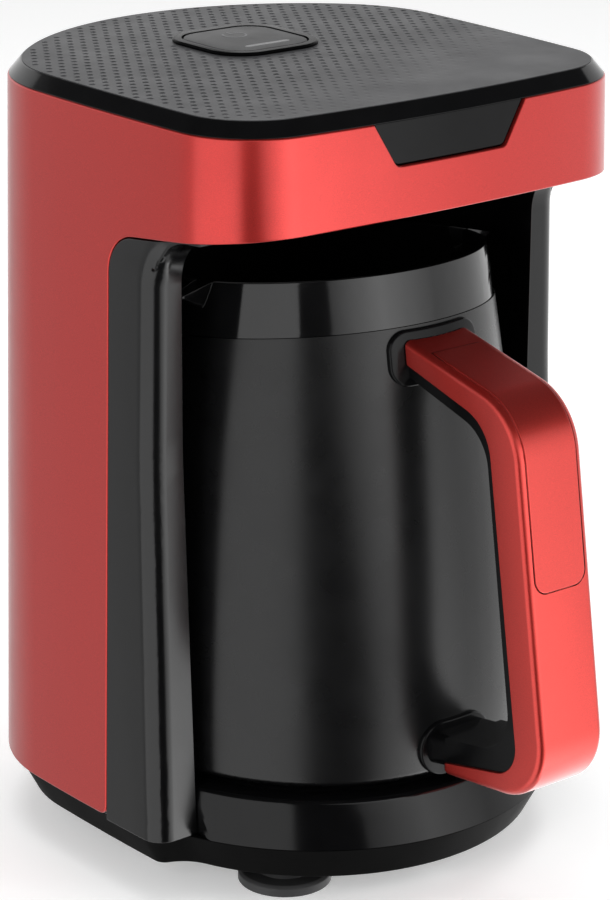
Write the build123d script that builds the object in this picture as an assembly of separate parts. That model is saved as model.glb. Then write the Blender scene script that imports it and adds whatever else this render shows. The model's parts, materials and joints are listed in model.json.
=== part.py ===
from build123d import *
import os
from math import acos, atan, cos, degrees, radians, sin, sqrt, tan

# Electric Turkish coffee maker: a red wrapped body with a round heated bay at the front, and a
# conical pot with a bow handle that slides out of the bay towards the user.
# Millimetres. +Z is up and -Y is the front, where the handle points. X = 0 is the plane of symmetry.
# While modelling, y = 0 is the widest line of the body. The export moves the whole object so that
# its origin is on the floor, under the centre of its overall box.

# ---------------------------------------------------------------- body outline, at the shell's top
top_width = 142.0
front_depth = 74.6
rear_depth = 66.2
front_bow = 480.0
front_corner = 24.0
side_bow = 900.0
rear_corner = 41.0
rear_bow = 82.0
draft = 1.33

# ---------------------------------------------------------------- heights, from the floor up
foot_gap = 8.0
skirt_height = 10.6
deck_height = 12.8
plate_rise = 1.8
bay_height = 159.0
head_height = 25.6
lid_rise = 3.8

skirt_top = foot_gap + skirt_height
deck_top = skirt_top + deck_height
plate_top = deck_top + plate_rise
head_bottom = deck_top + bay_height
shell_top = head_bottom + head_height
lid_face = shell_top + lid_rise

# ---------------------------------------------------------------- walls and clearances
shell_wall = 1.8
mould_wall = 1.8
seam = 0.25
slide_gap = 0.4
seat_gap = 0.3

# ---------------------------------------------------------------- bay
pot_y = -20.5
bay_gap = 2.3
cheek_gap = 0.8
shell_edge_y = -21.4
shell_edge_round = 11.0
shell_hem_round = 3.0
head_rake = 6.5
nose_y = -39.3
nose_low_y = -44.3
nose_knee_z = 125.0
nose_knee_round = 300.0
nose_arch = 14.0
arch_drop = 3.5
arch_lap = 2.0
nose_round = 6.0
tongue = 8.0

# ---------------------------------------------------------------- base drum and skirt
drum_y = -19.0
drum_low_radius = 68.2
drum_top_radius = 64.4
drum_edge = 1.6
skirt_inset = 2.4
skirt_slope = 5.4
skirt_corner = 9.0
skirt_hollow = 7.0
floor_wall = 2.0
shell_hem = 1.0

# ---------------------------------------------------------------- pot
pot_base_radius = 60.2
rim_radius = 46.4
pot_belly = 2.0
rim_height = 134.0
band_height = 119.4
rim_tilt = 7.0
base_plate_radius = 53.0
base_plate_depth = 2.2
sleeve_wall = 0.9
sleeve_round = 2.4
band_step = 0.35
vessel_wall = 1.1
spout_reach = 60.0
spout_turn = 8.0
spout_depth = 11.0
spout_tip = 2.2
spout_flank = 10.0
spout_droop = 15.0

# ---------------------------------------------------------------- handle, in the plane X = 0 (y, z)
handle_width = 22.0
handle_root = (-66.0, 156.2)
handle_top_corner = (-112.7, 146.0)
handle_low_corner = (-128.7, 42.2)
handle_low_end = (-87.5, 37.6)
inner_root = (-66.0, 150.0)
inner_top_corner = (-102.3, 140.3)
inner_low_corner = (-117.2, 47.6)
inner_low_end = (-87.5, 41.1)
handle_top_round = 19.0
handle_low_round = 17.0
inner_top_round = 13.0
inner_low_round = 9.0
handle_edge = 2.0
handle_tip_round = 1.6
cover_wall = 2.0
liner_proud = 1.5
liner_depth = 3.3
liner_inset = 0.9
liner_low_corner = (-113.6, 52.3)
liner_low_end = (-87.5, 48.0)
inlay_width = 17.5
inlay_depth = 1.2
inlay_proud = 0.25
inlay_low_z = 98.5
inlay_corner = 4.0
inlay_start_y = -78.0
arm_low = 37.2
arm_high = 46.4
arm_edge = 2.5
mount_proud = 1.4
mount_edge = 0.7
mount_seat = 0.05
upper_mount_size = (30.0, 15.0)
upper_mount_corner = 5.5
upper_mount_z = 150.2
lower_mount_size = (24.6, 15.6)
lower_mount_corner = 7.7
lower_mount_z = 41.6
tongue_size = (12.0, 4.6)
tongue_reach = 6.5

# ---------------------------------------------------------------- front panel
panel_top_half = 25.7
panel_low_half = 18.5
panel_height = 11.8
panel_corner = 2.2
panel_recess = 0.9
panel_flange = 2.5

# ---------------------------------------------------------------- lid and button
lid_chamfer = 3.5
lid_wall = 2.2
lid_lip = 7.0
button_y = 12.8
bezel_size = 35.0
bezel_corner = 11.0
bezel_rim = 2.5
bezel_rise = 1.2
bezel_seat = 1.6
cap_rise = 1.1
cap_depth = 4.2
cap_wall = 1.6
button_travel = 1.5
stem_radius = 3.0
stem_fit = 0.08
clip_depth = 0.8
guide_depth = 9.2
spring_wire = 0.7
spring_radius = 5.6
lens_size = (15.0, 1.8)
lens_place = (0.9, -8.8)
lens_depth = 1.2

# ---------------------------------------------------------------- heater
hot_plate_radius = 50.0
seal_depth = 1.1
seal_width = 4.0
plate_boss_radius = 43.5
plate_boss_depth = 5.0
deck_wall = 2.5
element_ring = 32.0
element_wire = 3.2
shield_radius = 48.0
shield_sheet = 0.8
stud_ring = 39.5
stud_radius = 1.5
thermostat_radius = 8.0
thermostat_depth = 8.0

# ---------------------------------------------------------------- base fixings and feet
boss_ring = 54.5
boss_radius = 3.6
screw_radius = 1.4
screw_head = 2.8
foot_radius = 13.0
foot_disc = 3.2
foot_neck = 8.0
foot_plug = 4.0
front_foot = (35.1, -49.9)
rear_foot = (39.0, 31.0)

# ---------------------------------------------------------------- electrics and cord inlet
board_wall = 1.6
control_board = (56.0, 44.0)
board_post = 9.6
post_radius = 3.0
power_board = (52.0, 64.0)
power_board_z = 62.0
board_clearance = 12.2
loom_radius = 1.8
loom_bend = 8.0
gland_z = 36.0
gland_bore = 3.6
gland_body = 6.2
gland_flange = 9.0
gland_flange_depth = 3.0
gland_inside = 12.0
sensor_radius = 5.0
sensor_body = 8.0

# ---------------------------------------------------------------- sizes that follow
bay_radius = pot_base_radius + bay_gap
cheek_half = pot_base_radius + cheek_gap
power_board_y = rear_depth - board_clearance


# ================================================================ shared shapes
def disc(radius, low, high, x=0.0, y=0.0):
    """Upright cylinder between two heights."""
    return Pos(x, y, low) * Cylinder(radius, high - low, align=(Align.CENTER, Align.CENTER, Align.MIN))


def ring(outer, inner, low, high, x=0.0, y=0.0):
    return disc(outer, low, high, x, y) - disc(inner, low - 1, high + 1, x, y)


def block(x_low, x_high, y_low, y_high, z_low, z_high):
    size = Box(x_high - x_low, y_high - y_low, z_high - z_low, align=(Align.MIN, Align.MIN, Align.MIN))
    return Pos(x_low, y_low, z_low) * size


def meeting_centre(big_centre, big_radius, other_centre, other_radius, corner, forward):
    """Centre of the corner arc that touches two large arcs from inside, on the +X side."""
    reach_a = big_radius - corner
    reach_b = other_radius - corner
    across = other_centre - big_centre
    along = (reach_a**2 - reach_b**2 + across.length**2) / (2 * across.length)
    rise = sqrt(reach_a**2 - along**2)
    middle = big_centre + across.normalized() * along
    normal = Vector(-across.Y, across.X).normalized() * rise
    return max((middle + normal, middle - normal), key=lambda point: point.X + forward * point.Y)


def bow(centre, radius, start, end):
    """Arc from start to end about a known centre."""
    middle = centre + ((start + end) * 0.5 - centre).normalized() * radius
    return ThreePointArc(start, middle, end)


def body_outline(growth=0.0):
    """Plan of the body: a bowed front with tight corners and a rounder back, offset by growth."""
    front_centre = Vector(0, front_bow - front_depth)
    side_centre = Vector(top_width / 2 - side_bow, 0)
    rear_centre = Vector(0, rear_depth - rear_bow)
    front_turn = meeting_centre(front_centre, front_bow, side_centre, side_bow, front_corner, -1)
    rear_turn = meeting_centre(side_centre, side_bow, rear_centre, rear_bow, rear_corner, 1)
    front_end = front_centre + (front_turn - front_centre).normalized() * (front_bow + growth)
    side_front = side_centre + (front_turn - side_centre).normalized() * (side_bow + growth)
    side_rear = side_centre + (rear_turn - side_centre).normalized() * (side_bow + growth)
    rear_end = rear_centre + (rear_turn - rear_centre).normalized() * (rear_bow + growth)
    half = [
        bow(front_turn, front_corner + growth, front_end, side_front),
        bow(side_centre, side_bow + growth, side_front, side_rear),
        bow(rear_turn, rear_corner + growth, side_rear, rear_end),
    ]
    front = ThreePointArc(Vector(-front_end.X, front_end.Y), Vector(0, -front_depth - growth), front_end)
    rear = ThreePointArc(rear_end, Vector(0, rear_depth + growth), Vector(-rear_end.X, rear_end.Y))
    mirrored = [mirror(edge, about=Plane.YZ) for edge in half]
    return make_face([front, *half, rear, *mirrored])


def body_growth(z):
    """How far the drafted side has moved out at a height, against the shell's top edge."""
    return (shell_top - z) * tan(radians(draft))


def body_prism(low, high, inset=0.0):
    """Solid with the body's drafted sides between two heights, moved in by inset."""
    outline = Pos(0, 0, low) * body_outline(body_growth(low) - inset)
    return extrude(outline, high - low, taper=draft)


def bay_plan(inset=0.0):
    """Plan of the bay: round about the pot, and open to the front between two flat cheeks."""
    straight = front_depth * 2
    slot = Pos(0, pot_y - straight / 2) * Rectangle(2 * (cheek_half - inset), straight)
    return Pos(0, pot_y) * Circle(bay_radius - inset) + slot


def bay_prism(low, high, inset=0.0):
    return extrude(Pos(0, 0, low) * bay_plan(inset), high - low)


def front_opening(edge, corner, rake=0.0):
    """Solid that clears all in front of an edge, given as (y, z) points from the floor up.

    Its top starts at the last point with a round corner, and rises by rake up to the body's front.
    """
    high_y, high_z = edge[-1]
    ahead = -3 * front_depth
    far_z = high_z + rake * (high_y - ahead) / (high_y + front_depth)
    profile = make_face(Polyline([*edge, (ahead, far_z), (ahead, edge[0][1])], close=True))
    turn = profile.vertices().sort_by_distance(Vector(high_y, high_z))[0]
    rounded = fillet(turn, corner)
    if len(edge) > 2:
        knee = rounded.vertices().sort_by_distance(Vector(*edge[1]))[0]
        rounded = fillet(knee, nose_knee_round)
    return extrude(Plane.YZ * rounded, top_width, both=True)


def shell_opening(gap):
    """The bay's cut-out as the shell has it, moved in by gap on its side edge and its top."""
    high = (shell_edge_y - gap, head_bottom - head_rake - gap)
    return front_opening([(high[0], -foot_gap), high], shell_edge_round - gap, head_rake)


def pot_arc():
    """Radius of the pot's outer profile, and its centre as distance from the axis and height."""
    chord = Vector(rim_radius - pot_base_radius, rim_height)
    radius = chord.length**2 / (8 * pot_belly) + pot_belly / 2
    middle = Vector(pot_base_radius, plate_top) + chord * 0.5
    inward = Vector(-chord.Y, chord.X).normalized()
    centre = middle + inward * (radius - pot_belly)
    return radius, centre.X, centre.Y


def pot_radius(z, inset=0.0):
    """Radius of the pot's slightly bellied side at a height, inside its outer face by inset."""
    radius, centre, height = pot_arc()
    return centre + sqrt((radius - inset)**2 - (z - height)**2)


def pot_form(inset, low, high):
    """The pot's round body between two heights, as a solid."""
    middle = (low + high) / 2
    side = ThreePointArc(
        (pot_radius(low, inset), low), (pot_radius(middle, inset), middle), (pot_radius(high, inset), high))
    outline = [Line((0, low), side @ 0), side, Line(side @ 1, (0, high)), Line((0, high), (0, low))]
    return Pos(0, pot_y, 0) * revolve(Plane.XZ * make_face(outline), Axis.Z)


def above_tilt(z):
    """Half space above a plane through the pot's axis at z, higher at the front than at the back."""
    size = 3 * pot_base_radius
    return Pos(0, pot_y, z) * Rot(-rim_tilt, 0, 0) * Pos(0, 0, size / 2) * Box(size, size, size)


def rounded_pad(size, corner, low, high):
    """Rounded square about the button's axis."""
    outline = Pos(0, button_y, low) * RectangleRounded(size, size, corner)
    return extrude(outline, high - low)


def around(count, radius, start=0.0):
    """Places on a circle about the pot's axis."""
    angles = [radians(start + 360 * i / count) for i in range(count)]
    return [(radius * cos(angle), pot_y + radius * sin(angle)) for angle in angles]


# ================================================================ shell and lid
def panel_outline(growth=0.0):
    """Trapezoid of the front panel in the XZ plane, wide at the top."""
    low = shell_top - panel_height - growth
    high = shell_top + lid_rise
    slope = (panel_top_half - panel_low_half) / panel_height
    low_half = panel_low_half + growth - slope * growth
    high_half = panel_top_half + growth + slope * lid_rise
    corners = [(-low_half, low), (low_half, low), (high_half, high), (-high_half, high)]
    face = make_face(Polyline(corners, close=True))
    return fillet(face.vertices().sort_by(Axis.Y)[:2], panel_corner + growth / 2)


def panel_prism(growth=0.0):
    return extrude(Plane.XZ * panel_outline(growth), front_depth + 20)


def gland_cylinder(radius, start, end):
    return Pos(0, start, gland_z) * Rot(-90, 0, 0) * Cylinder(
        radius, end - start, align=(Align.CENTER, Align.CENTER, Align.MIN))


def outer_shell():
    low = skirt_top + shell_hem
    wrap = body_prism(low, shell_top) - body_prism(low - 1, shell_top + 1, shell_wall)
    wrap -= shell_opening(0)
    hem = wrap.edges().filter_by(lambda edge: abs(edge.center().Y - shell_edge_y) < 0.1 and edge.length < 3)
    wrap = fillet(hem.filter_by(lambda edge: abs(edge.center().Z - low) < 0.1), shell_hem_round)
    wrap -= panel_prism()
    return wrap - gland_cylinder(gland_body + 0.1, 0, 2 * rear_depth)


def front_panel():
    face_ring = body_prism(head_bottom, shell_top, panel_recess) - body_prism(
        head_bottom - 1, shell_top + 1, shell_wall + seam)
    flange_ring = body_prism(head_bottom, shell_top - lid_lip - seam, shell_wall + seam) - body_prism(
        head_bottom - 1, shell_top + 1, shell_wall + seam + mould_wall)
    ahead = block(-top_width, top_width, -2 * front_depth, 0, 0, 2 * shell_top)
    return (face_ring & panel_prism(-seam) & ahead) + (flange_ring & panel_prism(panel_flange) & ahead)


lid_posts = [(50.0, 34.0), (-50.0, 34.0), (54.0, -48.0), (-54.0, -48.0)]


def lid():
    inner = shell_wall + seam
    rim = extrude(Pos(0, 0, shell_top) * body_outline(-seam), lid_rise,
                  taper=degrees(atan((lid_chamfer - seam) / lid_rise)))
    lip = body_prism(shell_top - lid_lip, shell_top, inner)
    hollow = body_prism(shell_top - lid_lip - 1, lid_face - lid_wall, inner + mould_wall)
    cover = rim + lip - hollow
    for x, y in lid_posts:
        cover += disc(boss_radius, post_meet, lid_face - lid_wall, x, y)
        cover -= disc(screw_radius, post_meet - 1, post_meet + 7, x, y)
    return cover - rounded_pad(bezel_size - 2 * bezel_seat, bezel_corner - bezel_seat, 0, 2 * lid_face)


# ================================================================ button
cap_size = bezel_size - 2 * bezel_rim - 2 * slide_gap
cap_corner = bezel_corner - bezel_rim - slide_gap
cap_top = lid_face + cap_rise
cap_under = cap_top - cap_wall
guide_floor = lid_face - lid_wall - guide_depth
guide_wall = 1.5
clip_top = guide_floor - seat_gap
clip_low = clip_top - clip_depth
stem_end = clip_low - 0.4


def button_bezel():
    collar = rounded_pad(bezel_size - 2 * bezel_seat, bezel_corner - bezel_seat, lid_face - lid_wall, lid_face)
    flange = rounded_pad(bezel_size, bezel_corner, lid_face, lid_face + bezel_rise)
    flange = fillet(flange.edges().group_by(Axis.Z)[-1], 0.5)
    inside = rounded_pad(bezel_size - 2 * bezel_rim, bezel_corner - bezel_rim, 0, 2 * lid_face)
    return collar + flange - inside


def lens_slot(low, high, growth=0.0):
    x, y = lens_place
    outline = SlotOverall(lens_size[0] + 2 * growth, lens_size[1] + 2 * growth)
    return extrude(Pos(x, button_y + y, low) * outline, high - low)


def start_button():
    cap = rounded_pad(cap_size, cap_corner, cap_top - cap_depth, cap_top)
    cap = fillet(cap.edges().group_by(Axis.Z)[-1], 0.6)
    cap -= rounded_pad(cap_size - 2 * cap_wall, cap_corner - cap_wall, 0, cap_under)
    cap += disc(stem_radius, stem_end, cap_under, 0, button_y)
    groove = ring(stem_radius + 1, stem_radius - 0.6, clip_low, clip_top, 0, button_y)
    return cap - groove - lens_slot(cap_top - lens_depth, cap_top + 1)


def indicator_lens():
    return lens_slot(cap_top - lens_depth, cap_top)


def button_clip():
    clip = ring(stem_radius + 1.8, stem_radius - 0.6, clip_low, clip_top, 0, button_y)
    return clip - block(-1.6, 1.6, button_y, button_y + 10, 0, lid_face)


def button_guide():
    outer = bezel_size - 2 * bezel_rim + 2 * guide_wall
    outer_corner = bezel_corner - bezel_rim + guide_wall
    inner_corner = bezel_corner - bezel_rim
    top = lid_face - lid_wall
    cup = rounded_pad(outer, outer_corner, guide_floor, top)
    cup -= rounded_pad(outer - 2 * guide_wall, inner_corner, guide_floor + guide_wall, top + 1)
    cup += ring(spring_radius - spring_wire - 0.3, stem_radius + stem_fit, guide_floor, guide_floor + 2.6, 0, button_y)
    return cup - disc(stem_radius + stem_fit, 0, lid_face, 0, button_y)


def button_spring():
    low = guide_floor + guide_wall
    length = cap_under - low
    turns = 4
    path = Helix(length / turns - spring_wire / turns, length - spring_wire, spring_radius - spring_wire / 2,
                 center=(0, button_y, low + spring_wire / 2))
    profile = Plane(origin=path @ 0, z_dir=path % 0) * RegularPolygon(spring_wire / 2, 6)
    return sweep(profile, path=path)


# ================================================================ head electronics
ceiling_low = head_bottom + 0.4
ceiling_top = ceiling_low + mould_wall
post_meet = ceiling_top + 12.0
board_low = ceiling_top + board_post
board_top = board_low + board_wall


def board_corners():
    half_x = control_board[0] / 2 - 4
    half_y = control_board[1] / 2 - 4
    return [(x, button_y + y) for x in (-half_x, half_x) for y in (-half_y, half_y)]


def control_board_plate():
    width, depth = control_board
    plate = Pos(0, button_y, board_low) * Box(width, depth, board_wall, align=(Align.CENTER, Align.CENTER, Align.MIN))
    for x, y in board_corners():
        plate -= disc(screw_radius, board_low - 1, board_top + 1, x, y)
    return plate


def tact_switch():
    top = stem_end - button_travel - seat_gap
    body = block(-3, 3, button_y - 3, button_y + 3, board_top, top - 0.5)
    return body + disc(1.7, top - 0.5, top, 0, button_y)


def buzzer():
    x, y = 18, button_y - 10
    return disc(5.0, board_top, board_top + buzzer_height, x, y) - disc(1.0, board_top + 2, lid_face, x, y)


buzzer_height = 3.6
connector_x = 11.0
connector_depth = 7.0
rear_of_board = button_y + control_board[1] / 2


def board_connector():
    return block(connector_x - 5, connector_x + 5, rear_of_board - connector_depth, rear_of_board,
                 board_low - 5, board_low)


def overflow_sensor():
    return disc(sensor_radius, ceiling_low, ceiling_low + 4, 0, pot_y)


def sensor_holder():
    return disc(sensor_body, ceiling_top, ceiling_top + 4, 0, pot_y) - overflow_sensor()


# ================================================================ bay
board_screw_z = (power_board_z + 6, power_board_z + power_board[1] - 6)
board_screw_x = power_board[0] / 2 - 5


def rounded_nose(slab, radius):
    """Round the outer edge of each pillar's front face, up through the arch."""
    tall = slab.edges().filter_by(lambda edge: edge.bounding_box().size.Z > 1)
    outer = tall.filter_by(lambda edge: abs(edge.center().X) > top_width / 2 - 3)
    return fillet(outer.filter_by(lambda edge: edge.center().Y < shell_edge_y - seam - 1), radius)


def bay_housing():
    """The bay's back wall and its two pillars, which flare forward under the head."""
    edge_y = shell_edge_y - seam
    arch_top = head_bottom - arch_drop
    sides = body_prism(skirt_top, arch_top)
    sides &= block(-top_width, top_width, -front_depth, edge_y, 0, shell_top)
    inner = shell_wall + seam
    inside_shell = body_prism(skirt_top, ceiling_low, inner)
    flare_end = nose_y - nose_arch - arch_lap
    under_shell = inside_shell & block(-top_width, top_width, flare_end, shell_edge_y + tongue, 0, shell_top)
    under_shell_back = inside_shell & block(-top_width, top_width, shell_edge_y, rear_depth, 0, shell_top)
    low_y = nose_low_y - (nose_y - nose_low_y) / (nose_knee_z - skirt_top) * (skirt_top + foot_gap)
    nose = [(low_y, -foot_gap), (nose_y, nose_knee_z), (nose_y, arch_top)]
    opening = front_opening(nose, nose_arch)
    tuck = nose_round - sqrt(nose_round**2 - (nose_round - inner)**2)
    pillars = rounded_nose(sides - opening, nose_round) & shell_opening(seam)
    pillars += under_shell - Pos(0, tuck, 0) * opening
    wall = bay_prism(skirt_top, ceiling_low, -mould_wall) & under_shell_back
    housing = pillars + wall - bay_prism(skirt_top - 1, ceiling_low + 1)
    for x in (-board_screw_x, board_screw_x):
        for z in board_screw_z:
            start = pot_y + sqrt((bay_radius + mould_wall / 2)**2 - x**2)
            housing += upright_to_back(post_radius, x, z, start, power_board_y)
    return housing


def head_floor():
    """Plate that closes the head over the bay, with the posts for the lid and the control board."""
    floor = body_prism(ceiling_low, ceiling_top, shell_wall + seam)
    for x, y in lid_posts:
        floor += disc(boss_radius, ceiling_top - 0.1, post_meet, x, y)
        floor -= disc(screw_radius, ceiling_low - 1, post_meet + 1, x, y)
        floor -= disc(screw_head, ceiling_low - 1, ceiling_low + 0.9, x, y)
    for x, y in board_corners():
        floor += disc(post_radius, ceiling_top - 0.1, board_low, x, y)
        floor -= disc(screw_radius, board_low - 7, board_low + 1, x, y)
    floor -= disc(sensor_radius, ceiling_low - 1, ceiling_top + 1, 0, pot_y)
    return floor - disc(loom_radius + 0.6, ceiling_low - 1, ceiling_top + 1, connector_x, loom_y)


def upright_to_back(radius, x, z, start, end):
    """Cylinder along +Y."""
    return Pos(x, start, z) * Rot(-90, 0, 0) * Cylinder(
        radius, end - start, align=(Align.CENTER, Align.CENTER, Align.MIN))


# ================================================================ base
def base_housing():
    """Glossy drum and deck: a slightly conical front with an open underside."""
    fit = bay_prism(skirt_top, deck_top, seam)
    drum = Pos(0, drum_y, skirt_top) * Cone(drum_low_radius, drum_top_radius, deck_height,
                                            align=(Align.CENTER, Align.CENTER, Align.MIN))
    drum = fillet(drum.edges().group_by(Axis.Z)[-1], drum_edge)
    inner = Pos(0, drum_y, skirt_top - 1) * Cone(
        drum_low_radius - mould_wall, drum_top_radius - mould_wall, deck_height - deck_wall + 1,
        align=(Align.CENTER, Align.CENTER, Align.MIN))
    fit_inner = bay_prism(skirt_top - 1, deck_top - deck_wall, seam + mould_wall)
    base = (drum & fit) - (inner & fit_inner)
    base -= disc(plate_boss_radius + 1, deck_top - deck_wall - 1, deck_top + 1, 0, pot_y)
    base -= disc(hot_plate_radius, deck_top - seal_depth, deck_top + 1, 0, pot_y)
    for x, y in base_bosses:
        base += disc(boss_radius, foot_gap + floor_wall, deck_top - deck_wall + 0.1, x, y)
        base -= disc(screw_radius, foot_gap, deck_top - deck_wall - 2, x, y)
    return base


base_bosses = around(4, boss_ring)
feet_places = {
    "front_left": (-front_foot[0], front_foot[1]),
    "front_right": front_foot,
    "rear_left": (-rear_foot[0], rear_foot[1]),
    "rear_right": rear_foot,
}


def skirt_outline(growth=0.0):
    """Plan of the skirt's top: the body behind the bay's pillars, and the round drum in front."""
    inset = skirt_inset
    rear = body_outline(body_growth(skirt_top) - inset)
    front_y = nose_low_y + inset
    keep = Pos(0, front_y + top_width) * Rectangle(2 * top_width, 2 * top_width)
    rear = Sketch() + (rear & keep)
    outer_corners = rear.vertices().sort_by(Axis.Y)[:2]
    rear = fillet(outer_corners, skirt_corner)
    front_radius = drum_low_radius - 0.4
    both = rear + Pos(0, drum_y) * Circle(front_radius)
    inner_corners = both.vertices().filter_by(
        lambda v: v.Y < drum_y and abs(Vector(v.X, v.Y - drum_y).length - front_radius) < 0.01)
    both = fillet(inner_corners, skirt_hollow)
    return offset(both, growth) if growth else both


def bottom_cover():
    """Matt skirt that slopes in to the floor plate, with sockets for the feet and air slots."""
    top = skirt_top - seam
    slope = degrees(atan(skirt_slope / (top - foot_gap)))
    cover = extrude(Pos(0, 0, top) * skirt_outline(), foot_gap - top, taper=slope)
    cover -= extrude(Pos(0, 0, top) * skirt_outline(-mould_wall), foot_gap + floor_wall - top, taper=slope)
    for x, y in feet_places.values():
        cover -= disc(foot_plug, 0, skirt_top, x, y)
    for x, y in base_bosses:
        cover -= disc(screw_radius, 0, skirt_top, x, y)
        cover -= disc(screw_head, 0, foot_gap + 1.0, x, y)
    slot = extrude(SlotOverall(16, 2.4), floor_wall * 4, both=True)
    for angle in range(0, 360, 30):
        cover -= Pos(0, pot_y, foot_gap) * Rot(0, 0, angle) * Pos(24, 0, 0) * slot
    return cover


def foot(place):
    x, y = place
    sole = disc(foot_radius, 0, foot_disc, x, y)
    sole = chamfer(sole.edges().group_by(Axis.Z)[-1], 0.8)
    neck = disc(foot_neck, foot_disc, foot_gap, x, y)
    plug = disc(foot_plug, foot_gap, foot_gap + floor_wall, x, y)
    cap = disc(foot_plug + 1.2, foot_gap + floor_wall, foot_gap + floor_wall + 1.4, x, y)
    return sole + neck + plug + cap


# ================================================================ heater
flange_low = deck_top
boss_low = flange_low - plate_boss_depth
element_z = boss_low - element_wire
shield_top = element_z - element_wire - 1.2


def hot_plate():
    flange = disc(hot_plate_radius, flange_low, plate_top, 0, pot_y)
    flange = chamfer(flange.edges().group_by(Axis.Z)[-1], 0.6)
    plate = flange + disc(plate_boss_radius, boss_low, flange_low, 0, pot_y)
    for x, y in around(3, stud_ring, 90):
        plate -= disc(stud_radius, boss_low - 1, boss_low + 3, x, y)
    return plate


def plate_seal():
    return ring(hot_plate_radius, hot_plate_radius - seal_width, flange_low - seal_depth, flange_low, 0, pot_y)


def heating_element():
    """Ring-shaped tube that is open at the back, where its two cold ends turn down."""
    gap = 16.0
    path = CenterArc((0, pot_y, element_z), element_ring, 90 + gap, 360 - 2 * gap)
    tube = sweep(Plane(origin=path @ 0, z_dir=path % 0) * Circle(element_wire), path=path)
    for end in (path @ 0, path @ 1):
        tube += Pos(end.X, end.Y, element_z) * Sphere(element_wire)
        tube += disc(1.3, element_z - element_wire - 5, element_z, end.X, end.Y)
    return tube


def thermostat():
    body = disc(thermostat_radius, boss_low - thermostat_depth, boss_low, 0, pot_y)
    tabs = block(-10.5, -9.3, pot_y - 3, pot_y + 3, boss_low - thermostat_depth, boss_low - 3)
    bridge = block(-9.5, 9.5, pot_y - 3, pot_y + 3, boss_low - thermostat_depth, boss_low - thermostat_depth + 1.2)
    return body + tabs + bridge + mirror(tabs, about=Plane.YZ)


def heat_shield():
    floor = shield_top - shield_sheet
    under_deck = deck_top - deck_wall
    pan = disc(shield_radius, floor, under_deck, 0, pot_y)
    pan -= disc(shield_radius - shield_sheet, shield_top, under_deck + 1, 0, pot_y)
    pan -= block(-14, 14, pot_y + 26, pot_y + 37, floor - 1, shield_top + 1)
    for x, y in around(3, stud_ring, 90):
        pan -= disc(stud_radius, floor - 1, shield_top + 1, x, y)
    return pan - disc(thermostat_radius + 4, floor - 1, shield_top + 1, 0, pot_y)


def plate_studs():
    """Three studs from the hot plate, each with its nut under the shield."""
    floor = shield_top - shield_sheet
    studs = Part()
    for x, y in around(3, stud_ring, 90):
        stud = disc(stud_radius, floor - 4, boss_low + 3, x, y)
        nut = Pos(x, y, floor - 2.4) * extrude(RegularPolygon(3.0, 6), 2.4)
        spacer = ring(2.6, stud_radius, shield_top, boss_low, x, y)
        studs += stud + nut + spacer
    return studs


def thermal_fuse():
    length = 14.0
    body = Pos(14, pot_y, boss_low - 2.2) * Rot(90, 0, 0) * Cylinder(2.2, length)
    leads = Pos(14, pot_y, boss_low - 2.2) * Rot(90, 0, 0) * Cylinder(0.6, length + 16)
    return body + leads


def base_screws():
    screws = Part()
    for x, y in base_bosses:
        screws += disc(screw_radius, foot_gap + 1.0, deck_top - deck_wall - 2, x, y)
        screws += disc(screw_head, foot_gap, foot_gap + 1.0, x, y)
    return screws


def lid_screws():
    screws = Part()
    for x, y in lid_posts:
        screws += disc(screw_radius, ceiling_low, post_meet + 7, x, y)
        screws += disc(screw_head, ceiling_low, ceiling_low + 0.9, x, y)
    return screws


# ================================================================ rear column
loom_y = rear_depth - 10.2


def power_board_plate():
    width, height = power_board
    return block(-width / 2, width / 2, power_board_y, power_board_y + board_wall,
                 power_board_z, power_board_z + height)


def power_parts():
    """Relay, capacitor and transformer on the outer side of the power board."""
    face = power_board_y + board_wall
    relay = block(-20, -4, face, face + 7, power_board_z + 8, power_board_z + 27)
    capacitor = upright_to_back(5.0, 10, power_board_z + 20, face, face + 6)
    transformer = block(-12, 10, face, face + 7.5, power_board_z + 34, power_board_z + 54)
    return relay + capacitor + transformer


def wiring_loom():
    top = board_low - 2.5
    start = (connector_x, loom_y, power_board_z + power_board[1])
    turn = (connector_x, loom_y, top)
    end = (connector_x, rear_of_board, top)
    path = FilletPolyline(start, turn, end, radius=loom_bend)
    return sweep(Plane(origin=path @ 0, z_dir=path % 0) * Circle(loom_radius), path=path)


def cord_gland():
    wall_out = rear_depth + body_growth(gland_z)
    outside = gland_cylinder(gland_flange, wall_out - 4, wall_out + gland_flange_depth) - body_prism(
        skirt_top, shell_top)
    outside += gland_cylinder(gland_body, wall_out - 3, wall_out + gland_flange_depth)
    inside = gland_cylinder(gland_body, wall_out - gland_inside, wall_out - 2)
    gland = outside + inside
    return gland - gland_cylinder(gland_bore, 0, 2 * rear_depth)


def gland_nut():
    wall_in = rear_depth + body_growth(gland_z) - shell_wall
    hexagon = Pos(0, wall_in - 5.0, gland_z) * Rot(-90, 0, 0) * extrude(RegularPolygon(gland_flange, 6), 5.0)
    nut = hexagon & body_prism(skirt_top, shell_top, shell_wall)
    return nut - gland_cylinder(gland_body, 0, 2 * rear_depth)


# ================================================================ pot
sleeve_low = plate_top + seat_gap
vessel_low = plate_top + base_plate_depth
band_z = plate_top + band_height
rim_z = plate_top + rim_height


def teardrop(reach, flank, z):
    """Plan of a pouring lip along +X: two straight flanks that meet in a round tip."""
    tip = spout_tip
    turn = acos((flank - tip) / (reach - tip))
    shoulder = (flank * cos(turn), flank * sin(turn))
    nose = (reach - tip + tip * cos(turn), tip * sin(turn))
    edges = [
        Line((shoulder[0], -shoulder[1]), (nose[0], -nose[1])),
        ThreePointArc((nose[0], -nose[1]), (reach, 0), nose),
        Line(nose, shoulder),
        Line(shoulder, (shoulder[0], -shoulder[1])),
    ]
    return Pos(0, 0, z) * make_face(edges)


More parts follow.
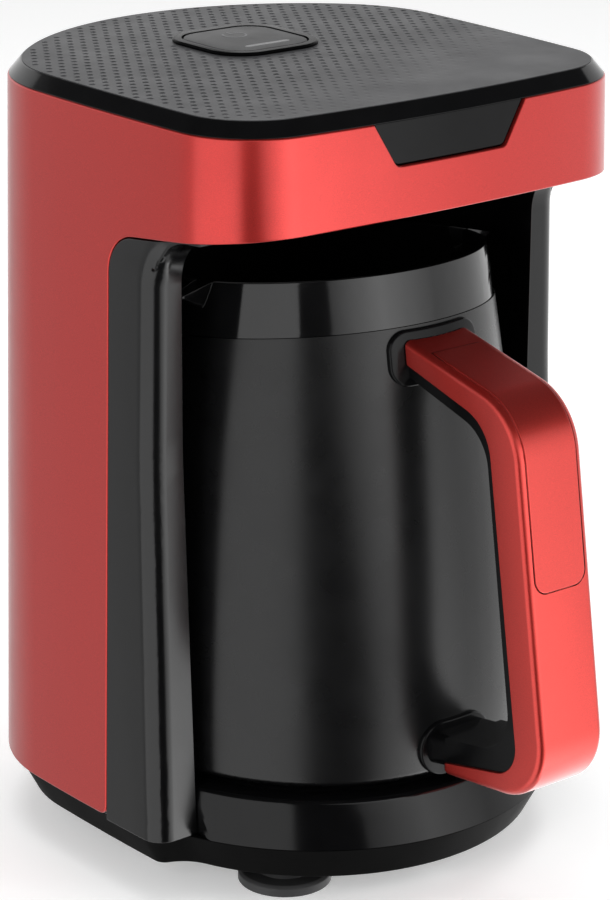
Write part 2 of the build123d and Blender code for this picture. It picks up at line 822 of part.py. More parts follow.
def spouts(inset):
    """The two pouring lips, which grow out of the cone up to the rim."""
    root_z = rim_z - spout_depth
    root_reach = pot_radius(root_z) - inset - 0.2
    slope = (spout_reach - inset - root_reach) / spout_depth
    top_z = rim_z + spout_depth
    top_reach = spout_reach - inset + slope * spout_depth
    flank = spout_flank - inset
    lip = loft([teardrop(root_reach, flank, root_z), teardrop(top_reach, flank, top_z)], ruled=True)
    right = Pos(0, pot_y, 0) * Rot(0, 0, -spout_turn) * lip
    return right + mirror(right, about=Plane.YZ)


def above_lip():
    """Half space above a lip, which falls away from the rim."""
    size = 3 * spout_reach
    room = Box(size, size, size, align=(Align.MIN, Align.CENTER, Align.MIN))
    return Pos(rim_radius - 1, pot_y, rim_z) * Rot(-rim_tilt, 0, 0) * Rot(0, spout_droop, 0) * room


def pot_vessel():
    high = rim_z + 2 * spout_depth
    lower = pot_form(sleeve_wall, vessel_low, high) - above_tilt(band_z)
    upper = pot_form(band_step, vessel_low, high) & above_tilt(band_z)
    outer = lower + upper + spouts(band_step)
    wall = sleeve_wall + vessel_wall
    inner = pot_form(wall, vessel_low + vessel_wall, high) + spouts(wall - 0.2)
    vessel = outer - inner - above_tilt(rim_z) - above_lip()
    return vessel - mirror(above_lip(), about=Plane.YZ)


def pot_sleeve():
    outer = pot_form(0, sleeve_low, rim_z)
    outer = fillet(outer.edges().group_by(Axis.Z)[0], sleeve_round)
    sleeve = outer - pot_form(sleeve_wall, vessel_low, rim_z + 1) - above_tilt(band_z)
    return sleeve - disc(base_plate_radius, 0, vessel_low + 0.1, 0, pot_y)


def pot_base_plate():
    plate = disc(base_plate_radius, plate_top + seat_gap, vessel_low, 0, pot_y)
    return chamfer(plate.edges().group_by(Axis.Z)[0], 0.5)


# ================================================================ handle
def side_face(points, rounds, back_points, back_rounds):
    """Closed face in the YZ plane between an outer and an inner filleted line."""
    outer = FilletPolyline(*points, radius=rounds)
    inner = FilletPolyline(*back_points, radius=back_rounds)
    ends = [Line(outer @ 1, inner @ 1), Line(inner @ 0, outer @ 0)]
    return make_face([*outer.edges(), ends[0], *inner.edges(), ends[1]])


def outer_line(shift=0.0):
    """The handle's outside, moved in by shift along each straight."""
    root, top, low, end = handle_root, handle_top_corner, handle_low_corner, handle_low_end
    return [
        (root[0], root[1] - shift),
        (top[0] + 0.72 * shift, top[1] - shift),
        (low[0] + 1.05 * shift, low[1] + shift),
        (end[0], end[1] + shift),
    ]


outer_rounds = [handle_top_round, handle_low_round]
inner_line = [inner_root, inner_top_corner, inner_low_corner, inner_low_end]
inner_rounds = [inner_top_round, inner_low_round]


def outer_rounds_at(shift):
    return [max(value - shift, 0) for value in outer_rounds]


def across(face, width):
    """Extrude a YZ face to a width that is centred on X = 0."""
    return extrude(Plane.YZ * face, width / 2, both=True)


def handle_body():
    """The red cover as a solid bar, with its long outer edges rounded."""
    bar = across(side_face(outer_line(), outer_rounds, inner_line, inner_rounds), handle_width)
    long_edges = bar.edges().filter_by(lambda edge: abs(abs(edge.center().X) - handle_width / 2) < 0.01)
    outer_edges = long_edges.filter_by(lambda edge: on_outer_line(edge.center()))
    bar = fillet(outer_edges, handle_edge)
    tip = bar.edges().filter_by(Axis.X).filter_by(lambda edge: abs(edge.center().Y - handle_low_end[0]) < 0.01)
    return fillet(tip, handle_tip_round)


def on_outer_line(point):
    """True for a point on the handle's outside, away from its inner line and its two ends."""
    wire = Wire(FilletPolyline(*outer_line(), radius=outer_rounds).edges())
    flat = Vertex(point.Y, point.Z, 0)
    return wire.distance_to(flat) < 0.3


def cover_cavity():
    """The room inside the cover that the handle core fills."""
    face = side_face(outer_line(cover_wall), outer_rounds_at(cover_wall), inner_line, inner_rounds)
    return across(face, handle_width - 2 * cover_wall)


def inlay_band(outward, inward, width, low_z, corner):
    """A strip that follows the outside of the handle down to a rounded lower end."""
    face = side_face(outer_line(-outward), outer_rounds_at(-outward), outer_line(inward), outer_rounds_at(inward))
    strip = across(face, width)
    height = handle_root[1] + 40 - low_z
    window = Pos(0, 0, low_z + height / 2) * Rot(90, 0, 0) * RectangleRounded(width, height, corner)
    ahead = block(-width, width, 2 * handle_low_corner[0], inlay_start_y, low_z, rim_z + 40)
    return strip & extrude(window, -2 * handle_low_corner[0], both=True) & ahead


def grip_inlay():
    return inlay_band(inlay_proud, inlay_depth, inlay_width, inlay_low_z, inlay_corner)


def mount_faces(gap=0.0):
    """The pot with its mounts' thickness on it, which trims all that meets them."""
    return pot_form(-mount_proud - gap, sleeve_low, rim_z)


def handle_cover():
    recess = inlay_band(2.0, inlay_depth, inlay_width, inlay_low_z, inlay_corner)
    return handle_body() - cover_cavity() - recess - mount_faces(seam) - lower_arm()


liner_root = (inner_root[0], inner_root[1] - liner_depth)
liner_top_corner = (inner_top_corner[0] + liner_proud, inner_top_corner[1] - liner_depth)
upper_tongue_z = (handle_root[1] - cover_wall + liner_root[1]) / 2 - 1.6
lower_tongue_z = (arm_low + arm_high) / 2 + 0.4


def lower_arm():
    """The core's bare arm between the cover's lower tip and the lower mount."""
    back = handle_low_end[0] - 2
    front = pot_y - pot_base_radius + 4
    outline = [(back, handle_low_end[1] + cover_wall), (front, arm_low), (front, arm_high),
               (back, liner_low_end[1] + 0.3)]
    arm = across(make_face(Polyline(outline, close=True)), handle_width - 2 * liner_inset)
    tip = arm.edges().filter_by(lambda edge: abs(edge.center().Y - (back + front) / 2) < 1)
    return fillet(tip, arm_edge)


def core_bar():
    """The core as a solid: it fills the cover, lines its inner side and ends in the two arms."""
    liner_line = [liner_root, liner_top_corner, liner_low_corner, liner_low_end]
    liner_rounds = [inner_top_round, inner_low_round + 3]
    liner = side_face(inner_line, inner_rounds, liner_line, liner_rounds)
    return cover_cavity() + across(liner, handle_width - 2 * liner_inset) + lower_arm()


def mount_tongue(z):
    """Block on a mount that goes into an arm of the core and takes its screw."""
    width, height = tongue_size
    front = pot_y - pot_radius(z) - mount_proud
    return block(-width / 2, width / 2, front - tongue_reach, pot_y, z - height / 2, z + height / 2)


def handle_core():
    core = core_bar() - mount_tongue(upper_tongue_z) - mount_tongue(lower_tongue_z)
    return core - mount_faces() - handle_screws()


handle_screw_reach = 5.5
handle_screw_cover = 2.3


def handle_screw(z):
    """Screw that ties an arm of the core to its mount, and ends short of the pot's wall."""
    wall = pot_y - pot_radius(z)
    start = wall - mount_proud - tongue_reach - handle_screw_reach
    return upright_to_back(screw_radius, 0, z, start, wall - handle_screw_cover)


def mount(size, corner, z_mid, tongue_z):
    """Thin plate with round corners that follows the pot, and its tongue for the core's arm."""
    pad = Pos(0, pot_y, z_mid) * Rot(90, 0, 0) * extrude(RectangleRounded(*size, corner), 2 * pot_base_radius)
    pad &= mount_faces()
    pad = fillet(pad.edges().filter_by(lambda edge: edge.center().Y < pot_y - 20), mount_edge)
    pad += mount_tongue(tongue_z)
    return pad - pot_form(-mount_seat, sleeve_low, rim_z) - handle_screw(tongue_z)


def upper_mount():
    return mount(upper_mount_size, upper_mount_corner, upper_mount_z, upper_tongue_z)


def lower_mount():
    return mount(lower_mount_size, lower_mount_corner, lower_mount_z, lower_tongue_z)


def handle_screws():
    return handle_screw(upper_tongue_z) + handle_screw(lower_tongue_z)


# ================================================================ export
nodes = {
    "outer_shell": outer_shell,
    "front_panel": front_panel,
    "lid": lid,
    "button_bezel": button_bezel,
    "start_button": start_button,
    "indicator_lens": indicator_lens,
    "button_clip": button_clip,
    "button_spring": button_spring,
    "button_guide": button_guide,
    "control_board": control_board_plate,
    "tact_switch": tact_switch,
    "buzzer": buzzer,
    "board_connector": board_connector,
    "overflow_sensor": overflow_sensor,
    "sensor_holder": sensor_holder,
    "lid_screws": lid_screws,
    "bay_housing": bay_housing,
    "head_floor": head_floor,
    "base_housing": base_housing,
    "bottom_cover": bottom_cover,
    "base_screws": base_screws,
    "hot_plate": hot_plate,
    "plate_seal": plate_seal,
    "heating_element": heating_element,
    "thermostat": thermostat,
    "thermal_fuse": thermal_fuse,
    "heat_shield": heat_shield,
    "plate_studs": plate_studs,
    "power_board": power_board_plate,
    "power_parts": power_parts,
    "wiring_loom": wiring_loom,
    "cord_gland": cord_gland,
    "gland_nut": gland_nut,
    "pot_vessel": pot_vessel,
    "pot_sleeve": pot_sleeve,
    "pot_base_plate": pot_base_plate,
    "upper_mount": upper_mount,
    "lower_mount": lower_mount,
    "handle_core": handle_core,
    "handle_cover": handle_cover,
    "grip_inlay": grip_inlay,
    "handle_screws": handle_screws,
}

shapes = {name: make() for name, make in nodes.items()}
for name, place in feet_places.items():
    shapes[f"foot_{name}"] = foot(place)

whole = Compound(children=[Compound(shape.solids()) for shape in shapes.values()])
extent = whole.bounding_box()
to_frame = Pos(0, -(extent.min.Y + extent.max.Y) / 2, 0)

os.makedirs("parts", exist_ok=True)
for name, shape in shapes.items():
    export_step(to_frame * Compound(shape.solids()), f"parts/{name}.step")
print("moved along Y by", round(-(extent.min.Y + extent.max.Y) / 2, 4))
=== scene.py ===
import bpy
import bmesh
import json
from math import atan2, cos, pi, radians, sin
from mathutils import Matrix, Vector


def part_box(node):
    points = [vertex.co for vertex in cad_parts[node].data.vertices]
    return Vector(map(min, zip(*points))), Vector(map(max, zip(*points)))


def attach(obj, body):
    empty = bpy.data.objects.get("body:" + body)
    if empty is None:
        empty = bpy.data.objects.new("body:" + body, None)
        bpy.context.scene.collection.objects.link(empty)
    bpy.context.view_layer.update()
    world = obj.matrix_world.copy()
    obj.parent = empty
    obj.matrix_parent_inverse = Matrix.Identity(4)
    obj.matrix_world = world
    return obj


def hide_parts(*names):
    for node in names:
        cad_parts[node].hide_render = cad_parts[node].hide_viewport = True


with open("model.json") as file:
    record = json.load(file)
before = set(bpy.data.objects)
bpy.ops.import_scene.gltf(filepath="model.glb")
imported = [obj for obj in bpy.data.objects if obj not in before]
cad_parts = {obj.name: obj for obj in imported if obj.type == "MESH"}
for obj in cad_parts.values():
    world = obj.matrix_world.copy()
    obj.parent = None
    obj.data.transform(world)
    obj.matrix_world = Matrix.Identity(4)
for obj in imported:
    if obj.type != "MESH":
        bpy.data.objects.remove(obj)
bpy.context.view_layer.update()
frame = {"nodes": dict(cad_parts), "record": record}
bodies = frame["record"]["behaviour"]["bodies"]
nodeBody = {node: body for body, members in bodies.items() for node in members}
nodeSlot = {part["node"]: part["material_slot"] for part in frame["record"]["subparts"]}


# small helpers for objects, meshes and materials
def newObject(name, data):
    thing = bpy.data.objects.new(name, data)
    bpy.context.scene.collection.objects.link(thing)
    return thing


def meshFrom(bm, name):
    mesh = bpy.data.meshes.new(name)
    bm.to_mesh(mesh)
    bm.free()
    return mesh


def flatSquare(name, halfWidth, height=0.0):
    bm = bmesh.new()
    bmesh.ops.create_grid(bm, x_segments=1, y_segments=1, size=halfWidth)
    bmesh.ops.translate(bm, verts=bm.verts, vec=(0, 0, height))
    return meshFrom(bm, name)


def startFinish(name, colour, metallic, roughness, **more):
    finish = bpy.data.materials.new(name)
    finish.use_nodes = True
    surface = finish.node_tree.nodes["Principled BSDF"]
    surface.inputs["Base Color"].default_value = (*colour, 1)
    surface.inputs["Metallic"].default_value = metallic
    surface.inputs["Roughness"].default_value = roughness
    for socket, value in more.items():
        surface.inputs[socket.replace("_", " ")].default_value = value
    return finish, finish.node_tree, surface


# camera: turn, height and roll in degrees
view = {"place": (-0.5435, -0.66299, 0.4028), "turn": -38.84, "height": 18.78, "roll": 0.27,
        "lens": 130.25, "sensor": 36, "near": 0.01, "far": 20}


def placeCamera():
    turn, height, roll = [radians(view[angle]) for angle in ("turn", "height", "roll")]
    back = Vector((sin(turn) * cos(height), -cos(turn) * cos(height), sin(height)))
    right = Vector((cos(turn), sin(turn), 0))
    up = back.cross(right)
    across = right * cos(roll) + up * sin(roll)
    upward = up * cos(roll) - right * sin(roll)
    camera = newObject("camera", bpy.data.cameras.new("camera"))
    camera.data.lens = view["lens"]
    camera.data.sensor_width = view["sensor"]
    camera.data.clip_start = view["near"]
    camera.data.clip_end = view["far"]
    rows = Matrix((across, upward, back)).transposed()
    camera.matrix_world = Matrix.Translation(view["place"]) @ rows.to_4x4()
    bpy.context.scene.camera = camera


placeCamera()
bpy.context.scene.view_settings.view_transform = "Standard"

# soft lights that show in no reflection
softboxes = {
    "leftBox": {"place": (-1.25, -0.55, 0.45), "aim": (0, 0, 0.11), "size": (0.35, 1.1), "power": 7},
    "rightBox": {"place": (0.85, -1.05, 0.5), "aim": (0, 0, 0.11), "size": (0.45, 0.9), "power": 8},
    "topBox": {"place": (0.1, 0.15, 1.25), "aim": (0, 0, 0.1), "size": (1.0, 1.0), "power": 7},
}


def hangSoftbox(name, box):
    lamp = bpy.data.lights.new(name, "AREA")
    lamp.shape = "RECTANGLE"
    lamp.size, lamp.size_y = box["size"]
    lamp.energy = box["power"]
    holder = newObject(name, lamp)
    holder.location = box["place"]
    holder.rotation_mode = "QUATERNION"
    holder.rotation_quaternion = (Vector(box["aim"]) - Vector(box["place"])).to_track_quat("-Z", "Y")
    holder.visible_camera = False
    holder.visible_glossy = False


for name, box in softboxes.items():
    hangSoftbox(name, box)

# pale room and floor: how strong each is as light, and how bright as the camera and mirrors see it
room = {"light": 0.45, "seen": 1.0}
paper = {"halfWidth": 3, "colour": (0.9, 0.9, 0.9), "roughness": 0.7, "light": 0.0, "seen": 0.35}


def paleRays(tree, light, seen):
    rays = tree.nodes.new("ShaderNodeLightPath")
    looks = rays.outputs["Is Camera Ray"]
    for kind in ("Is Glossy Ray", "Is Transmission Ray"):
        either = tree.nodes.new("ShaderNodeMath")
        either.operation = "MAXIMUM"
        tree.links.new(looks, either.inputs[0])
        tree.links.new(rays.outputs[kind], either.inputs[1])
        looks = either.outputs[0]
    level = tree.nodes.new("ShaderNodeMapRange")
    level.inputs["To Min"].default_value = light
    level.inputs["To Max"].default_value = seen
    tree.links.new(looks, level.inputs["Value"])
    return level.outputs[0]


def lightRoom():
    world = bpy.data.worlds.new("studio")
    world.use_nodes = True
    bpy.context.scene.world = world
    tree = world.node_tree
    background = tree.nodes["Background"]
    background.inputs["Color"].default_value = (1, 1, 1, 1)
    tree.links.new(paleRays(tree, room["light"], room["seen"]), background.inputs["Strength"])


def layFloor():
    floor = newObject("floor", flatSquare("floor", paper["halfWidth"]))
    finish, tree, surface = startFinish("paleFloor", paper["colour"], 0.0, paper["roughness"],
                                        Specular_IOR_Level=0.0, Emission_Color=(1, 1, 1, 1))
    tree.links.new(paleRays(tree, paper["light"], paper["seen"]), surface.inputs["Emission Strength"])
    floor.data.materials.append(finish)
    floor.visible_glossy = False


lightRoom()
layFloor()

# studio cards close round the object, seen in its gloss alone. Their ends are angles in degrees, counted from
# the front to the right: low from the floor down, high at the top. Lift makes the foot of a card brighter
cards = {
    "leftCard": {"low": (-104, -46), "high": (-98, -53), "bright": (1.5, 1.6)},
    "gapCard": {"low": (-46, -12), "high": (-53, -37), "bright": (0.02, 0.02)},
    "hotCard": {"low": (-12, 14), "high": (-37, -4), "bright": (0.8, 2.9)},
    "softCard": {"low": (14, 42), "high": (-4, 36), "bright": (2.9, 1.05), "lift": 0.9},
    "rightCard": {"low": (42, 125), "high": (36, 120), "bright": (1.05, 1.2), "lift": 0.9},
    "rearLeftCard": {"low": (-180, -104), "high": (-180, -98), "bright": (0.64, 0.64)},
}
cardRing = {"radius": 0.28, "foot": -0.4, "top": 0.2, "columns": 24, "rows": 18, "fullLift": 0.15}
shade = {"halfWidth": 1.1, "height": 0.8, "bright": 0.05}  # dark sheet overhead


def mix(first, last, share):
    return first * (1 - share) + last * share


def cardFinish(name):
    return startFinish(name, (0, 0, 0), 0.0, 0.5, Specular_IOR_Level=0.0, Emission_Color=(1, 1, 1, 1))


def placeCard(name, mesh, glow):
    mesh.materials.append(glow)
    stand = newObject(name, mesh)
    stand.visible_camera = stand.visible_diffuse = stand.visible_shadow = stand.visible_transmission = False


def standCard(name, card):
    bm = bmesh.new()
    bmesh.ops.create_grid(bm, x_segments=cardRing["columns"], y_segments=cardRing["rows"], size=0.5)
    glowLayer = bm.verts.layers.float.new("glow")
    for vert in bm.verts:
        along = vert.co.x + 0.5
        rise = cardRing["foot"] + (vert.co.y + 0.5) * (cardRing["top"] - cardRing["foot"])
        up = max(0, rise / cardRing["top"])
        first, last = [mix(low, high, up) for low, high in zip(card["low"], card["high"])]
        turn = radians(mix(first, last, along))
        vert.co = Vector((sin(turn), -cos(turn), 0)) * cardRing["radius"]
        vert.co.z = rise
        lift = 1 + card.get("lift", 0) * min(1, max(0, -rise / cardRing["fullLift"]))
        vert[glowLayer] = mix(*card["bright"], along) * lift
    glow, tree, surface = cardFinish(name)
    level = tree.nodes.new("ShaderNodeAttribute")
    level.attribute_name = "glow"
    tree.links.new(level.outputs["Fac"], surface.inputs["Emission Strength"])
    placeCard(name, meshFrom(bm, name), glow)


def hangShade():
    glow, _, surface = cardFinish("shadeCard")
    surface.inputs["Emission Strength"].default_value = shade["bright"]
    placeCard("shadeCard", flatSquare("shadeCard", shade["halfWidth"], shade["height"]), glow)


for name, card in cards.items():
    standCard(name, card)
hangShade()
print("stage ready")

# what all finishes of a kind share: dark and light are shares of the colour, and scales count per metre
grain = {"detail": 2.0, "span": (0.3, 0.7)}
lacquer = {"coat": 0.55, "coatRoughness": 0.22, "flakes": 5200, "dark": 0.86, "light": 1.14, "peel": 90,
           "spread": 0.03, "depth": 0.000004, "strength": 0.5}
moulded = {"mottle": 160, "dark": 0.85, "light": 1.15, "smears": 70}
brushed = {"lines": 900, "dark": 0.9, "light": 1.08, "smoother": 0.05, "rougher": 0.07, "depth": 0.000006,
           "strength": 0.6}


def grainAt(tree, scale, detail=grain["detail"]):
    place = tree.nodes.new("ShaderNodeTexCoord")
    noise = tree.nodes.new("ShaderNodeTexNoise")
    noise.inputs["Scale"].default_value = scale
    noise.inputs["Detail"].default_value = detail
    tree.links.new(place.outputs["Object"], noise.inputs["Vector"])
    return noise.outputs["Fac"]


def varyGloss(tree, surface, source, low, high):
    spread = tree.nodes.new("ShaderNodeMapRange")
    spread.inputs["From Min"].default_value = grain["span"][0]
    spread.inputs["From Max"].default_value = grain["span"][1]
    spread.inputs["To Min"].default_value = low
    spread.inputs["To Max"].default_value = high
    tree.links.new(source, spread.inputs["Value"])
    tree.links.new(spread.outputs[0], surface.inputs["Roughness"])


def tint(tree, surface, source, colour, kind):
    ramp = tree.nodes.new("ShaderNodeValToRGB")
    for stop, place, share in zip(ramp.color_ramp.elements, grain["span"], (kind["dark"], kind["light"])):
        stop.position = place
        stop.color = (*[min(1, c * share) for c in colour], 1)
    tree.links.new(source, ramp.inputs["Fac"])
    tree.links.new(ramp.outputs["Color"], surface.inputs["Base Color"])


def relief(tree, surface, source, depth, strength=1.0):
    bump = tree.nodes.new("ShaderNodeBump")
    bump.inputs["Distance"].default_value = depth
    bump.inputs["Strength"].default_value = strength
    tree.links.new(source, bump.inputs["Height"])
    tree.links.new(bump.outputs["Normal"], surface.inputs["Normal"])


def redLacquer(name, colour, metallic, roughness):
    # metallic lacquer: fine flakes in the colour, a little orange peel in the gloss
    finish, tree, surface = startFinish(name, colour, metallic, roughness, Coat_Weight=lacquer["coat"],
                                        Coat_Roughness=lacquer["coatRoughness"])
    flakes = grainAt(tree, lacquer["flakes"], 1.0)
    tint(tree, surface, flakes, colour, lacquer)
    peel = grainAt(tree, lacquer["peel"], 3.0)
    varyGloss(tree, surface, peel, roughness - lacquer["spread"], roughness + lacquer["spread"])
    relief(tree, surface, flakes, lacquer["depth"], lacquer["strength"])
    return finish


def plastic(name, colour, roughness, bumps, depth, spread=0.03, shine=0.5):
    # mottled colour, smeared gloss, and fine bumps of a given scale and depth
    finish, tree, surface = startFinish(name, colour, 0.0, roughness, Specular_IOR_Level=shine)
    tint(tree, surface, grainAt(tree, moulded["mottle"], 3.0), colour, moulded)
    smears = grainAt(tree, moulded["smears"], 4.0)
    varyGloss(tree, surface, smears, roughness - spread, roughness + spread)
    relief(tree, surface, grainAt(tree, bumps), depth)
    return finish


def plainMetal(name, colour, roughness):
    finish, tree, surface = startFinish(name, colour, 1.0, roughness)
    lines = grainAt(tree, brushed["lines"])
    tint(tree, surface, lines, colour, brushed)
    varyGloss(tree, surface, lines, roughness - brushed["smoother"], roughness + brushed["rougher"])
    relief(tree, surface, lines, brushed["depth"], brushed["strength"])
    return finish


# first a finish for each of the record's slots, then those of single pieces
finishes = {
    "shell_red": redLacquer("wrapRed", (0.54, 0.031, 0.026), 0.82, 0.32),
    "handle_red": redLacquer("gripRed", (0.57, 0.038, 0.029), 0.88, 0.38),
    "inlay_red": redLacquer("inlayRed", (0.55, 0.038, 0.029), 0.88, 0.38),
    "black_gloss": plastic("pianoBlack", (0.003, 0.003, 0.0033), 0.12, 260, 0.000003, 0.02, 0.45),
    "black_satin": plastic("lidBlack", (0.050, 0.050, 0.053), 0.42, 3200, 0.000012, 0.03, 0.45),
    "black_matt": plastic("skirtBlack", (0.003, 0.003, 0.003), 0.55, 2400, 0.00002, 0.03, 0.02),
    "pot_coating": plastic("potCoating", (0.004, 0.004, 0.0043), 0.28, 3600, 0.000006, 0.03, 0.4),
    "bright_ring": plainMetal("ringSatin", (0.55, 0.55, 0.57), 0.24),
    "lens_white": plastic("lensSmoke", (0.035, 0.036, 0.04), 0.22, 900, 0.000002),
    "steel": plainMetal("plainSteel", (0.55, 0.55, 0.56), 0.30),
    "plate_metal": plainMetal("plateCast", (0.40, 0.40, 0.41), 0.38),
    "rubber": plastic("footRubber", (0.028, 0.028, 0.029), 0.62, 1800, 0.00002, 0.08),
    "seal": plastic("sealSilicone", (0.12, 0.045, 0.035), 0.55, 1500, 0.00001),
    "board": plastic("boardGreen", (0.03, 0.16, 0.06), 0.35, 700, 0.000004),
    "component": plastic("partsBlack", (0.035, 0.035, 0.037), 0.45, 1500, 0.00001),
    "wire": plastic("wireSleeve", (0.06, 0.06, 0.065), 0.45, 900, 0.00001),
    "ivory": plastic("nylonIvory", (0.55, 0.52, 0.44), 0.5, 1500, 0.00001),
    "potGloss": plastic("potBandGloss", (0.004, 0.004, 0.0043), 0.10, 500, 0.000002, 0.02, 0.5),
    "bayGloss": plastic("bayBlack", (0.003, 0.003, 0.0033), 0.19, 260, 0.000003, 0.02, 0.45),
    "lidGloss": plastic("lidRimGloss", (0.003, 0.003, 0.0033), 0.12, 400, 0.000002, 0.02, 0.35),
    "ringGloss": plastic("ringBlack", (0.002, 0.002, 0.0022), 0.2, 400, 0.000002, 0.02, 0.03),
    "panelGloss": plastic("panelBlack", (0.003, 0.003, 0.0033), 0.14, 400, 0.000002, 0.02, 0.18),
    "drumGloss": plastic("drumBlack", (0.003, 0.003, 0.0033), 0.14, 260, 0.000003, 0.02, 0.25),
    "gripGloss": plastic("gripBlack", (0.003, 0.003, 0.0033), 0.2, 260, 0.000003, 0.02, 0.16),
    "capSatin": plastic("capBlack", (0.02, 0.02, 0.021), 0.38, 3200, 0.000008, 0.03, 0.3),
    "iconGrey": plastic("iconPrint", (0.16, 0.16, 0.165), 0.5, 2600, 0.000002),
}

for node, thing in frame["nodes"].items():
    thing.data.materials.clear()
    thing.data.materials.append(finishes[nodeSlot[node]])
print("finishes ready")

# angles in degrees: flat joins faces, crease parts their shading, and a bevel starts this much sharper
smoothing = {"weld": 0.000002, "flat": 0.4, "crease": 28, "sharper": 4, "segments": 2}


def weldedCopy(node):
    bm = bmesh.new()
    bm.from_mesh(frame["nodes"][node].data)
    bmesh.ops.remove_doubles(bm, verts=bm.verts, dist=smoothing["weld"])
    bmesh.ops.dissolve_limit(bm, angle_limit=radians(smoothing["flat"]), verts=bm.verts, edges=bm.edges)
    return bm


def softenEdges(piece, width, crease):
    soft = piece.modifiers.new("softEdge", "BEVEL")
    soft.width = width
    soft.segments = smoothing["segments"]
    soft.limit_method = "ANGLE"
    soft.angle_limit = radians(crease + smoothing["sharper"])
    soft.use_clamp_overlap = False
    soft.harden_normals = True


def showPiece(bm, name, body, finish, edge=0.0, crease=smoothing["crease"]):
    for face in bm.faces:
        face.smooth = True
    mesh = meshFrom(bm, name)
    if "custom_normal" in mesh.attributes:
        mesh.attributes.remove(mesh.attributes["custom_normal"])
    mesh.set_sharp_from_angle(angle=radians(crease))
    mesh.materials.append(finish)
    piece = newObject(name, mesh)
    if edge:
        softenEdges(piece, edge, crease)
    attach(piece, body)
    return piece


def topOf(node):
    return max(v.co.z for v in frame["nodes"][node].data.vertices)


def middleOf(node):
    # y of the middle of a round or square node
    low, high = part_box(node)
    return round((low[1] + high[1]) / 2, 7)


# dimpled sheet on the lid: shallow round cups in staggered rows that fade out to the front right. Step and
# row are the pitches of the cells, cell the height of one, and slopes the walls of a cup with their shares of
# its depth. The sheet lies on the lid's flat top, less a margin, and runs a little way under the bezel
dimples = {"columns": 80, "rows": 50, "step": 0.00207, "row": 0.00325, "cell": 0.001995, "cup": 0.00095,
           "slopes": ((0.000231, 0.7), (0.000189, 0.3)), "depth": 0.00018, "sheet": 0.00021,
           "under": 0.000005, "fade": (-0.045, 0.02), "slant": 0.45, "faintest": 0.03, "margin": 0.0004,
           "outside": 0.004, "rimClear": 0.0013, "bezelClear": 0.0016, "overlap": 0.0025, "crease": 50}
bezel = {"size": 0.0336, "corner": 0.0102, "middle": middleOf("button_bezel")}
outline = {"same": 0.00001, "outerShare": 0.6}


def planCorners(node, height):
    # corners of a convex flat top, in turn about its middle
    top = [v.co for v in frame["nodes"][node].data.vertices if abs(v.co.z - height) < outline["same"]]
    flat = {(round(co.x, 6), round(co.y, 6)) for co in top}
    middle = Vector((sum(p[0] for p in flat), sum(p[1] for p in flat))) / len(flat)
    reach = max((Vector(p) - middle).length for p in flat)
    outer = [Vector(p) for p in flat if (Vector(p) - middle).length > reach * outline["outerShare"]]
    return sorted(outer, key=lambda p: atan2(p.y - middle.y, p.x - middle.x))


def sheetWalls(corners):
    # each side of the sheet, as a point on it and the way out
    walls = []
    for a, b in zip(corners, corners[1:] + corners[:1]):
        if (b - a).length > outline["same"]:
            out = Vector((b.y - a.y, a.x - b.x)).normalized()
            walls.append((a - out * dimples["margin"], out))
    return walls


def roundedDistance(x, y, size, corner):
    # how far a point lies outside a rounded square about zero
    straight = size / 2 - corner
    dx, dy = max(abs(x) - straight, 0), max(abs(y) - straight, 0)
    return (dx * dx + dy * dy) ** 0.5 - corner


def fade(value, low, high):
    part = min(1, max(0, (value - low) / (high - low)))
    return part * part * (3 - 2 * part)


def cellGrid(shift):
    # rows of cells with narrow rows between them
    bm = bmesh.new()
    columns, rows = dimples["columns"], dimples["rows"]
    bmesh.ops.create_grid(bm, x_segments=columns, y_segments=2 * rows, size=0.5)
    for vert in bm.verts:
        line = round((vert.co.y + 0.5) * 2 * rows)
        vert.co.x *= columns * dimples["step"]
        vert.co.y = (line // 2 - rows / 2) * dimples["row"] + dimples["cell"] * (line % 2)
    bmesh.ops.translate(bm, verts=bm.verts, vec=shift)
    return bm


def pickFaces(bm, walls, middle):
    # the faces to leave out, and the cells that get a cup, each with its strength
    spare, cups = [], []
    for face in bm.faces:
        centre = face.calc_center_median()
        gap = roundedDistance(centre.x, centre.y - bezel["middle"], bezel["size"], bezel["corner"])
        inner = min((wall - centre.xy).dot(out) for wall, out in walls)
        height = max(v.co.y for v in face.verts) - min(v.co.y for v in face.verts)
        column = round(centre.x / dimples["step"] - 0.5)
        line = round((centre.y - middle - dimples["cell"] / 2) / dimples["row"] + dimples["rows"] / 2)
        isCell = height > dimples["row"] / 2 and (column + line) % 2 == 0
        if gap < -dimples["overlap"] or inner < -dimples["outside"]:
            spare.append(face)
        elif isCell and inner > dimples["rimClear"] and gap > dimples["bezelClear"]:
            strength = fade(centre.y - dimples["slant"] * centre.x, *dimples["fade"])
            if strength > dimples["faintest"]:
                cups.append((face, strength))
    return spare, cups


def dentCups(bm, cups):
    # make the middle of each cell round, then sink it in two slopes
    cells = [cell for cell, strength in cups]
    bmesh.ops.inset_individual(bm, faces=cells, thickness=0.00001)
    around = dict.fromkeys(edge for cell in cells for edge in cell.edges)
    bmesh.ops.subdivide_edges(bm, edges=list(around), cuts=2)
    for cell in cells:
        centre = cell.calc_center_median()
        for vert in cell.verts:
            vert.co = centre + (vert.co - centre).normalized() * dimples["cup"]
    for slope, share in dimples["slopes"]:
        bmesh.ops.inset_individual(bm, faces=cells, thickness=slope)
        for cell, strength in cups:
            for vert in cell.verts:
                vert.co.z -= dimples["depth"] * strength * share


def trimSheet(bm, walls, top):
    for wall, out in walls:
        bmesh.ops.bisect_plane(bm, geom=bm.verts[:] + bm.edges[:] + bm.faces[:], dist=0.0000001,
                               plane_co=(wall.x, wall.y, top), plane_no=(out.x, out.y, 0), clear_outer=True)


